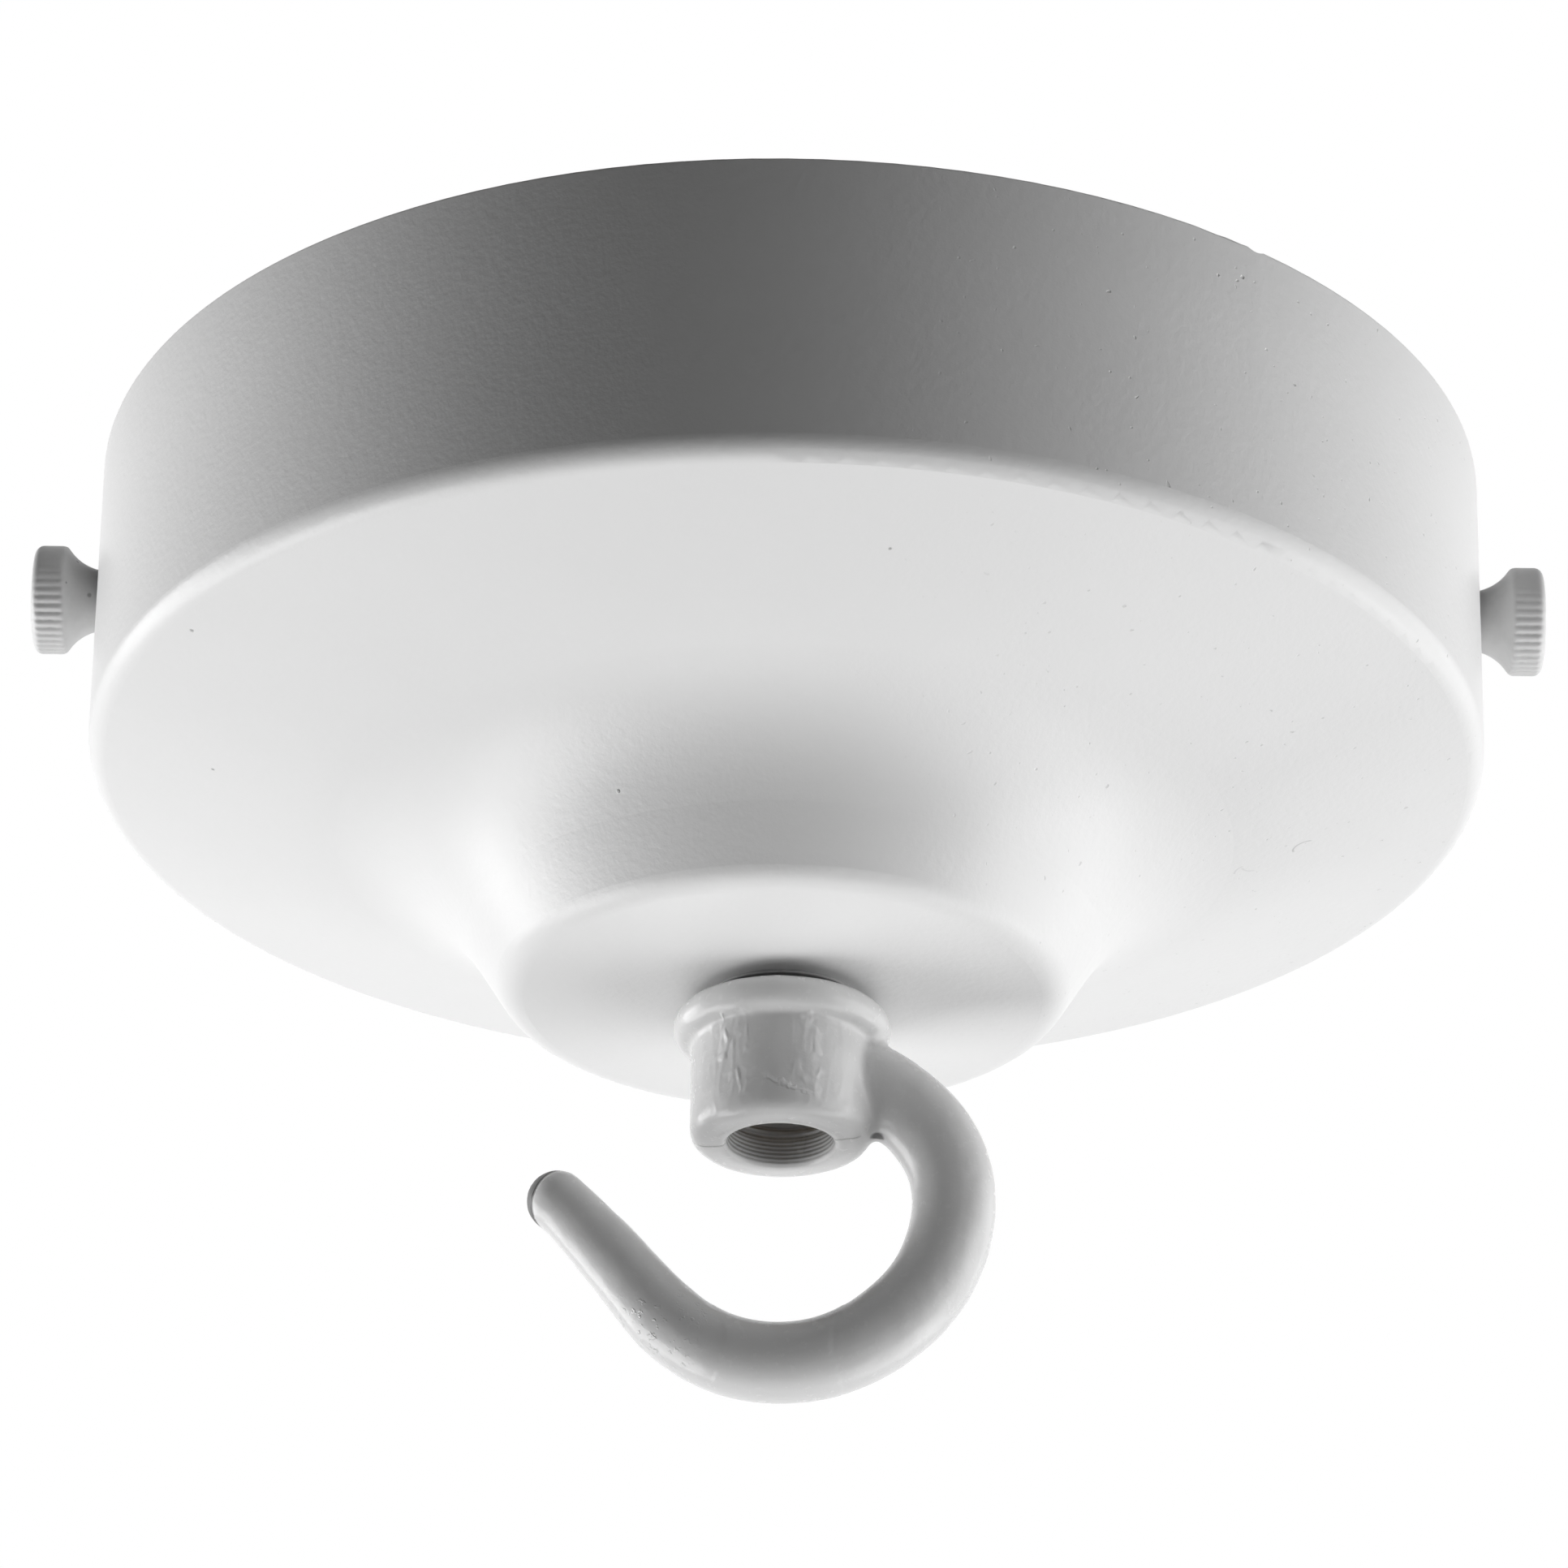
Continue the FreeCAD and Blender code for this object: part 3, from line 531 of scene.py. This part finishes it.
# The darkest colour marks the tip's edge line, the pit and the seam, and is also the painted shade on
# the neck.
white_enamel.give(
    Base_Color=white_enamel.blend(
        tip_ring * 0.75 + pit * 0.9 + seam * 0.35 + neck * 0.95,
        white_enamel.blend(in_bore, white_enamel.blend(tip_end, painted, TIP_BARE), bare),
        CAST_DARK_AND_GAP_SHADE,
    ),
    Roughness=0.20 + pimples * 0.12 + in_bore * 0.26 + tip_end * 0.26,
    Coat_Weight=0.10 - in_bore * 0.10,
    Normal=white_enamel.relief(
        pimples * 0.28 + creases * 0.8 + run + bits * 0.6, 0.10,
        white_enamel.relief(
            seam * 0.3 - pit - tip_ring * 0.5, 0.20,
            white_enamel.relief(tool_rings * in_bore, 0.05),
        ),
    ),
    Coat_Roughness=0.12,
    Specular_IOR_Level=0.34,
)


def enamel_rise(place):
    """How far the enamel stands above the even skin: lumps all over, long drips on the barrel."""
    out = math.hypot(place.x, place.y)
    if out < BORE_CLEAR or place.z > COLLAR_HEAD:
        return 0.0
    rise = sum(height * (noise.noise(place / size) - LUMP_LEVEL) for height, size in LUMPS)
    if out > BARREL_CLEAR or place.z < BARREL_FOOT:
        return rise
    drawn = Vector([along / size for along, size in zip(place, STREAK_SIZE)])
    streak = 1.0 - abs(noise.noise(drawn)) * 3.0
    drip = max(math.exp(-((place.x - middle) / width) ** 2) for middle, width in DRIPS)
    below_collar = min(1.0, max(0.0, DRIP_HEAD - place.z))
    return rise + DRIP_HEIGHT * max(0.0, streak) * (max(drip, DRIP_LEAST) * below_collar)


shell = bmesh.new()
shell.from_mesh(pieces["hook"].data)
bmesh.ops.remove_doubles(shell, verts=shell.verts, dist=0.000001)
corners = [ring(shell, radius, height, BORE_AROUND) for radius, height in LIP]
for lower, upper in zip(corners, corners[1:] + corners[:1]):
    bridge(shell, lower, upper)
blank = bpy.data.objects.new("hook_blank", bpy.data.meshes.new("hook_blank"))
shell.to_mesh(blank.data)
shell.free()
bpy.context.scene.collection.objects.link(blank)
skin = blank.modifiers.new("skin", "REMESH")
skin.mode = "VOXEL"
skin.voxel_size = SKIN / MM_PER_M
cast = bpy.data.meshes.new_from_object(blank.evaluated_get(bpy.context.evaluated_depsgraph_get()))
bpy.data.meshes.remove(blank.data)

shell = bmesh.new()
shell.from_mesh(cast)
bpy.data.meshes.remove(cast)
for _ in range(SKIN_SMOOTHED):
    bmesh.ops.smooth_vert(
        shell, verts=shell.verts, factor=0.5, use_axis_x=True, use_axis_y=True, use_axis_z=True
    )
shell.normal_update()
risen = [(vert, vert.normal.copy(), enamel_rise(vert.co * MM_PER_M)) for vert in shell.verts]
for vert, way, rise in risen:
    vert.co += way * rise / MM_PER_M
plain_bore = [
    face for face in shell.faces
    if all(
        math.hypot(vert.co.x, vert.co.y) * MM_PER_M < BORE_REACH
        and BORE_LOW - BORE_JOIN < vert.co.z * MM_PER_M < BORE_HIGH + BORE_JOIN
        for vert in face.verts
    )
]
bmesh.ops.delete(shell, geom=plain_bore, context="FACES")
plain_edges = [edge for edge in shell.edges if edge.is_boundary]
thread_foot, thread_head = threaded_wall(
    shell, BORE_LOW, BORE_HIGH, BORE_CORE, BORE_DEEP, BORE_AROUND, BORE_LEAD
)
bore_middle = (BORE_LOW + BORE_HIGH) / 2.0 / MM_PER_M
for thread_end, upper in ((thread_foot, False), (thread_head, True)):
    plain_end = [edge for edge in plain_edges if (edge.verts[0].co.z > bore_middle) == upper]
    turn = [shell.edges.get(pair) for pair in zip(thread_end, thread_end[1:] + thread_end[:1])]
    bmesh.ops.bridge_loops(shell, edges=plain_end + turn)
bmesh.ops.recalc_face_normals(shell, faces=shell.faces)
made("hook_casting", shell, white_enamel, "rose", "white_enamel", "hook")


# Side screws: two M4 thumbscrews with a straight-knurled head and a waisted neck, turned from steel
# and sprayed white. They go through the cup into the turned-down ends of the strap. The paint has
# rounded the edges and half filled the knurl, the knurl's grooves are drawn a little darker, and the
# threads are bare.
SCREW_DROP, SCREW_SEAT = -10.2, 60.03
SHANK_LENGTH, SHANK_PITCH, SHANK_CREST, SHANK_ROOT = 8.0, 0.7, 1.95, 1.55
SHANK_AROUND, SHANK_ROWS_PER_TURN, SHANK_POINT = 48, 12, 0.45
NECK_FOOT, NECK_WAIST, NECK_RIM, NECK_STEPS = (0.0, 2.65), (1.684, 3.057), (2.62, 4.40), 12
HEAD_RADIUS, HEAD_END, HEAD_TEETH, TOOTH_DEPTH, TOOTH_POINTS = 4.72, 5.65, 40, 0.17, 8
HEAD_SHOULDER = ((2.72, 4.53), (2.84, 4.62), (2.98, 4.68), (3.15, 4.71), (3.30, 4.72))
KNURL_START, KNURL_STEPS = 3.45, 8
HEAD_ROUND, ROUND_OUT, ROUND_IN, ROUND_STEPS = 0.80, 0.74, 0.85, 8
HEAD_FACE = ((0.03, 2.8), (0.01, 1.4), (0.0, 0.1))
PAINT_SPECKS = (
    ((-61.88, -2.59, -7.76), 0.20), ((-60.68, -2.71, -11.07), 0.28), ((-62.58, -4.27, -10.69), 0.15),
    ((61.4, -2.4, -11.6), 0.16), ((62.4, 3.9, -8.9), 0.20), ((-62.2, 3.6, -11.8), 0.18),
)
PAINT_WHITE, PAINT_PATCH, PAINT_DARK_GREY, BARE_STEEL = grey(0.71), grey(0.67), grey(0.15), grey(0.50)

white_screw_paint = Finish("white_screw_paint", bpy.data.materials, "Principled BSDF")
outward = abs(white_screw_paint.along(0))
from_screw = white_screw_paint.away_from((0.0, 0.0, SCREW_DROP), (IGNORED, 1.0, 1.0))
sprayed = white_screw_paint.mottle(0.45, 3.0, 26.0)
patchy = white_screw_paint.rise(white_screw_paint.mottle(1.6, 3.0, 27.0), 0.40, 0.68)
on_knurl = white_screw_paint.rise(outward, 62.9, 63.2) * white_screw_paint.rise(outward, 65.3, 65.0)
in_grooves = white_screw_paint.rise(from_screw, HEAD_RADIUS - 0.02, HEAD_RADIUS - TOOTH_DEPTH)
specks = 0.0
for point, size in PAINT_SPECKS:
    specks = specks + white_screw_paint.rise(white_screw_paint.away_from(point), size, 0.3 * size)
shank = white_screw_paint.rise(outward, 60.0, 59.9)
# The knurl's grooves are drawn a little darker, with the same colour as the dark specks.
white_screw_paint.give(
    Base_Color=white_screw_paint.blend(
        shank,
        white_screw_paint.blend(
            in_grooves * on_knurl * 0.12 + specks * 0.6,
            white_screw_paint.blend(patchy, PAINT_WHITE, PAINT_PATCH),
            PAINT_DARK_GREY,
        ),
        BARE_STEEL,
    ),
    Metallic=shank,
    Roughness=0.34 + sprayed * 0.14 - shank * 0.08,
    Normal=white_screw_paint.relief(sprayed, 0.02),
)


def head_line():
    """Outline of neck and head as places out from the wall with their radius."""
    line = []
    for step in range(NECK_STEPS + 1):
        share = step / NECK_STEPS
        line.append(tuple(
            foot * (1 - share) ** 2 + waist * 2 * share * (1 - share) + edge * share ** 2
            for foot, waist, edge in zip(NECK_FOOT, NECK_WAIST, NECK_RIM)
        ))
    line += HEAD_SHOULDER
    knurl_end = HEAD_END - HEAD_ROUND
    for step in range(KNURL_STEPS + 1):
        line.append((KNURL_START + step * (knurl_end - KNURL_START) / KNURL_STEPS, HEAD_RADIUS))
    for step in range(1, ROUND_STEPS + 1):
        turn = math.radians(step * 90.0 / ROUND_STEPS)
        line.append((
            knurl_end + ROUND_OUT * math.sin(turn), HEAD_RADIUS - ROUND_IN * (1 - math.cos(turn))
        ))
    line += [(HEAD_END - depth, radius) for depth, radius in HEAD_FACE]
    return line


def thumbscrew(name, side, body, node):
    """One screw, pointing away from the cup on side 1 or -1."""
    shell = bmesh.new()

    def round_row(out, radius, around, depth):
        row = []
        for place in range(around):
            angle = 2.0 * math.pi * place / around
            reach = radius - depth(place / around, angle)
            row.append(shell.verts.new((
                side * (SCREW_SEAT + out) / MM_PER_M,
                reach * math.cos(angle) / MM_PER_M,
                (SCREW_DROP + reach * math.sin(angle)) / MM_PER_M,
            )))
        return row

    rows = []
    for out, radius in head_line():
        begun = max(0.0, (out - 2.7) / 0.5)
        left = max(0.0, (HEAD_END - 0.2 - out) / 0.6)
        depth = TOOTH_DEPTH * min(1.0, begun, left)

        def knurl(turn, angle):
            clear = 0.06 + 0.94 * min(1.0, max(0.0, 0.40 - 1.5 * math.sin(angle)))
            clear *= 0.8 + 0.4 * noise.noise(Vector((math.cos(angle), math.sin(angle), out)) * 2.3)
            return depth * clear * (0.5 - 0.5 * math.cos(2.0 * math.pi * turn * HEAD_TEETH)) ** 1.5

        rows.append(round_row(out, radius, TOOTH_POINTS * HEAD_TEETH, knurl))
    for lower, upper in zip(rows, rows[1:]):
        bridge(shell, lower, upper)
    shell.faces.new(rows[-1])

    rows = []
    steps = round(SHANK_LENGTH / SHANK_PITCH * SHANK_ROWS_PER_TURN)
    for step in range(steps + 1):
        out = SHANK_LENGTH * (step / steps - 1.0)
        point = max(0.0, SHANK_POINT - (out + SHANK_LENGTH))

        def groove(turn, angle):
            return (SHANK_CREST - SHANK_ROOT) * (1.0 - flat_vee(out / SHANK_PITCH - turn))

        rows.append(round_row(out, SHANK_CREST - point, SHANK_AROUND, groove))
    for lower, upper in zip(rows, rows[1:]):
        bridge(shell, lower, upper)
    shell.faces.new(rows[0])
    bmesh.ops.bridge_loops(shell, edges=[edge for edge in shell.edges if edge.is_boundary])
    bmesh.ops.recalc_face_normals(shell, faces=shell.faces)
    made(name, shell, white_screw_paint, body, "white_screw_paint", node)


thumbscrew("thumbscrew_left", -1, "left_screw", "side_screw_left")
thumbscrew("thumbscrew_right", 1, "right_screw", "side_screw_right")


# Studio: a pale floor far below, a white surround, and soft lamps at both sides, a little behind
# the rose and below it. Little light comes from the front, so the near wall stays grey. One small
# narrow lamp above shines into the open cup.
FLOOR_DROP, FLOOR_REACH = -1.6, 60.0
FLOOR_PALE, FLOOR_SHADE, FLOOR_SEEN = grey(0.84), grey(0.80), grey(0.78)
BACKGROUND_RAYS = ("Is Camera Ray", "Is Glossy Ray", "Is Transmission Ray")
AIR = 0.01
MIDDLE = Vector((0.0, 0.0, -0.04))
LAMPS = (
    ("left_lamp", (-0.75, 0.25, -0.10), 0.45, 0.6, 4.20, 180.0),
    ("right_lamp", (0.75, 0.25, -0.10), 0.7, 0.9, 2.60, 180.0),
    ("right_fill", (0.80, -0.20, -0.05), 0.6, 0.8, 2.50, 180.0),
    ("lower_left_lamp", (-0.60, 0.10, -0.62), 0.50, 0.50, 3.65, 180.0),
    ("lower_right_lamp", (0.60, 0.10, -0.62), 0.7, 0.7, 3.75, 180.0),
    ("lower_lamp", (0.0, 0.05, -0.85), 0.6, 0.6, 1.00, 180.0),
    ("top_lamp", (0.0, 0.0, 0.12), 0.07, 0.07, 0.012, 20.0),
)


def background(finish):
    """1 for the rays that show what lies behind the rose, 0 for those that would light it."""
    return sum((finish.add("ShaderNodeLightPath", {}, {}, ray) for ray in BACKGROUND_RAYS), 0.0) > 0.5


pale_floor = Finish("pale_floor", bpy.data.materials, "Principled BSDF")
pale_floor.give(
    Base_Color=pale_floor.blend(pale_floor.mottle(180.0, 2.0, 28.0), FLOOR_PALE, FLOOR_SHADE),
    Roughness=0.7,
    Emission_Color=pale_floor.blend(background(pale_floor), grey(0.0), FLOOR_SEEN),
    Emission_Strength=1.0,
)
shell = bmesh.new()
bmesh.ops.create_grid(shell, x_segments=1, y_segments=1, size=FLOOR_REACH)
floor_mesh = bpy.data.meshes.new("floor")
shell.to_mesh(floor_mesh)
shell.free()
floor_mesh.materials.append(pale_floor.data)
floor = bpy.data.objects.new("floor", floor_mesh)
floor.location = (0.0, 0.0, FLOOR_DROP)
bpy.context.scene.collection.objects.link(floor)

surround = Finish("white_surround", bpy.data.worlds, "Background")
surround.give(Color=grey(1.0), Strength=AIR + background(surround) * (1.0 - AIR))
bpy.context.scene.world = surround.data

for name, place, width, height, power, spread in LAMPS:
    lamp = bpy.data.lights.new(name, "AREA")
    lamp.shape = "RECTANGLE"
    lamp.size, lamp.size_y = width, height
    lamp.energy = power
    lamp.spread = math.radians(spread)
    holder = bpy.data.objects.new(name, lamp)
    holder.location = place
    holder.rotation_euler = (MIDDLE - Vector(place)).to_track_quat("-Z", "Y").to_euler()
    holder.visible_camera = False
    bpy.context.scene.collection.objects.link(holder)


# Camera: below and in front of the rose, looking up at it through a long lens, a touch off level.
# Its lens and shift are counted in pixels of the square image.
EYE = Vector((0.0, -0.592864, -0.316935))
AHEAD = Vector((0.0, 0.89713, 0.44176)).normalized()
LEAN = math.radians(0.86)
IMAGE_SIDE, LENS_PIXELS, SHIFT_PIXELS = 1932.0, 9438.28, (-2.755, -25.31)
SENSOR = 36.0
NEAREST, FARTHEST = 0.05, 200.0

level = Vector((1.0, 0.0, 0.0))
upright = level.cross(AHEAD)
right = level * math.cos(LEAN) + upright * math.sin(LEAN)
top = upright * math.cos(LEAN) - level * math.sin(LEAN)
lens = bpy.data.cameras.new("camera")
lens.sensor_width = SENSOR
lens.lens = LENS_PIXELS / IMAGE_SIDE * SENSOR
lens.shift_x, lens.shift_y = (shift / IMAGE_SIDE for shift in SHIFT_PIXELS)
lens.clip_start, lens.clip_end = NEAREST, FARTHEST
camera = bpy.data.objects.new("camera", lens)
camera.matrix_world = Matrix.Translation(EYE) @ Matrix((right, top, -AHEAD)).transposed().to_4x4()
bpy.context.scene.collection.objects.link(camera)
bpy.context.scene.camera = camera
bpy.context.scene.view_settings.view_transform = "Standard"
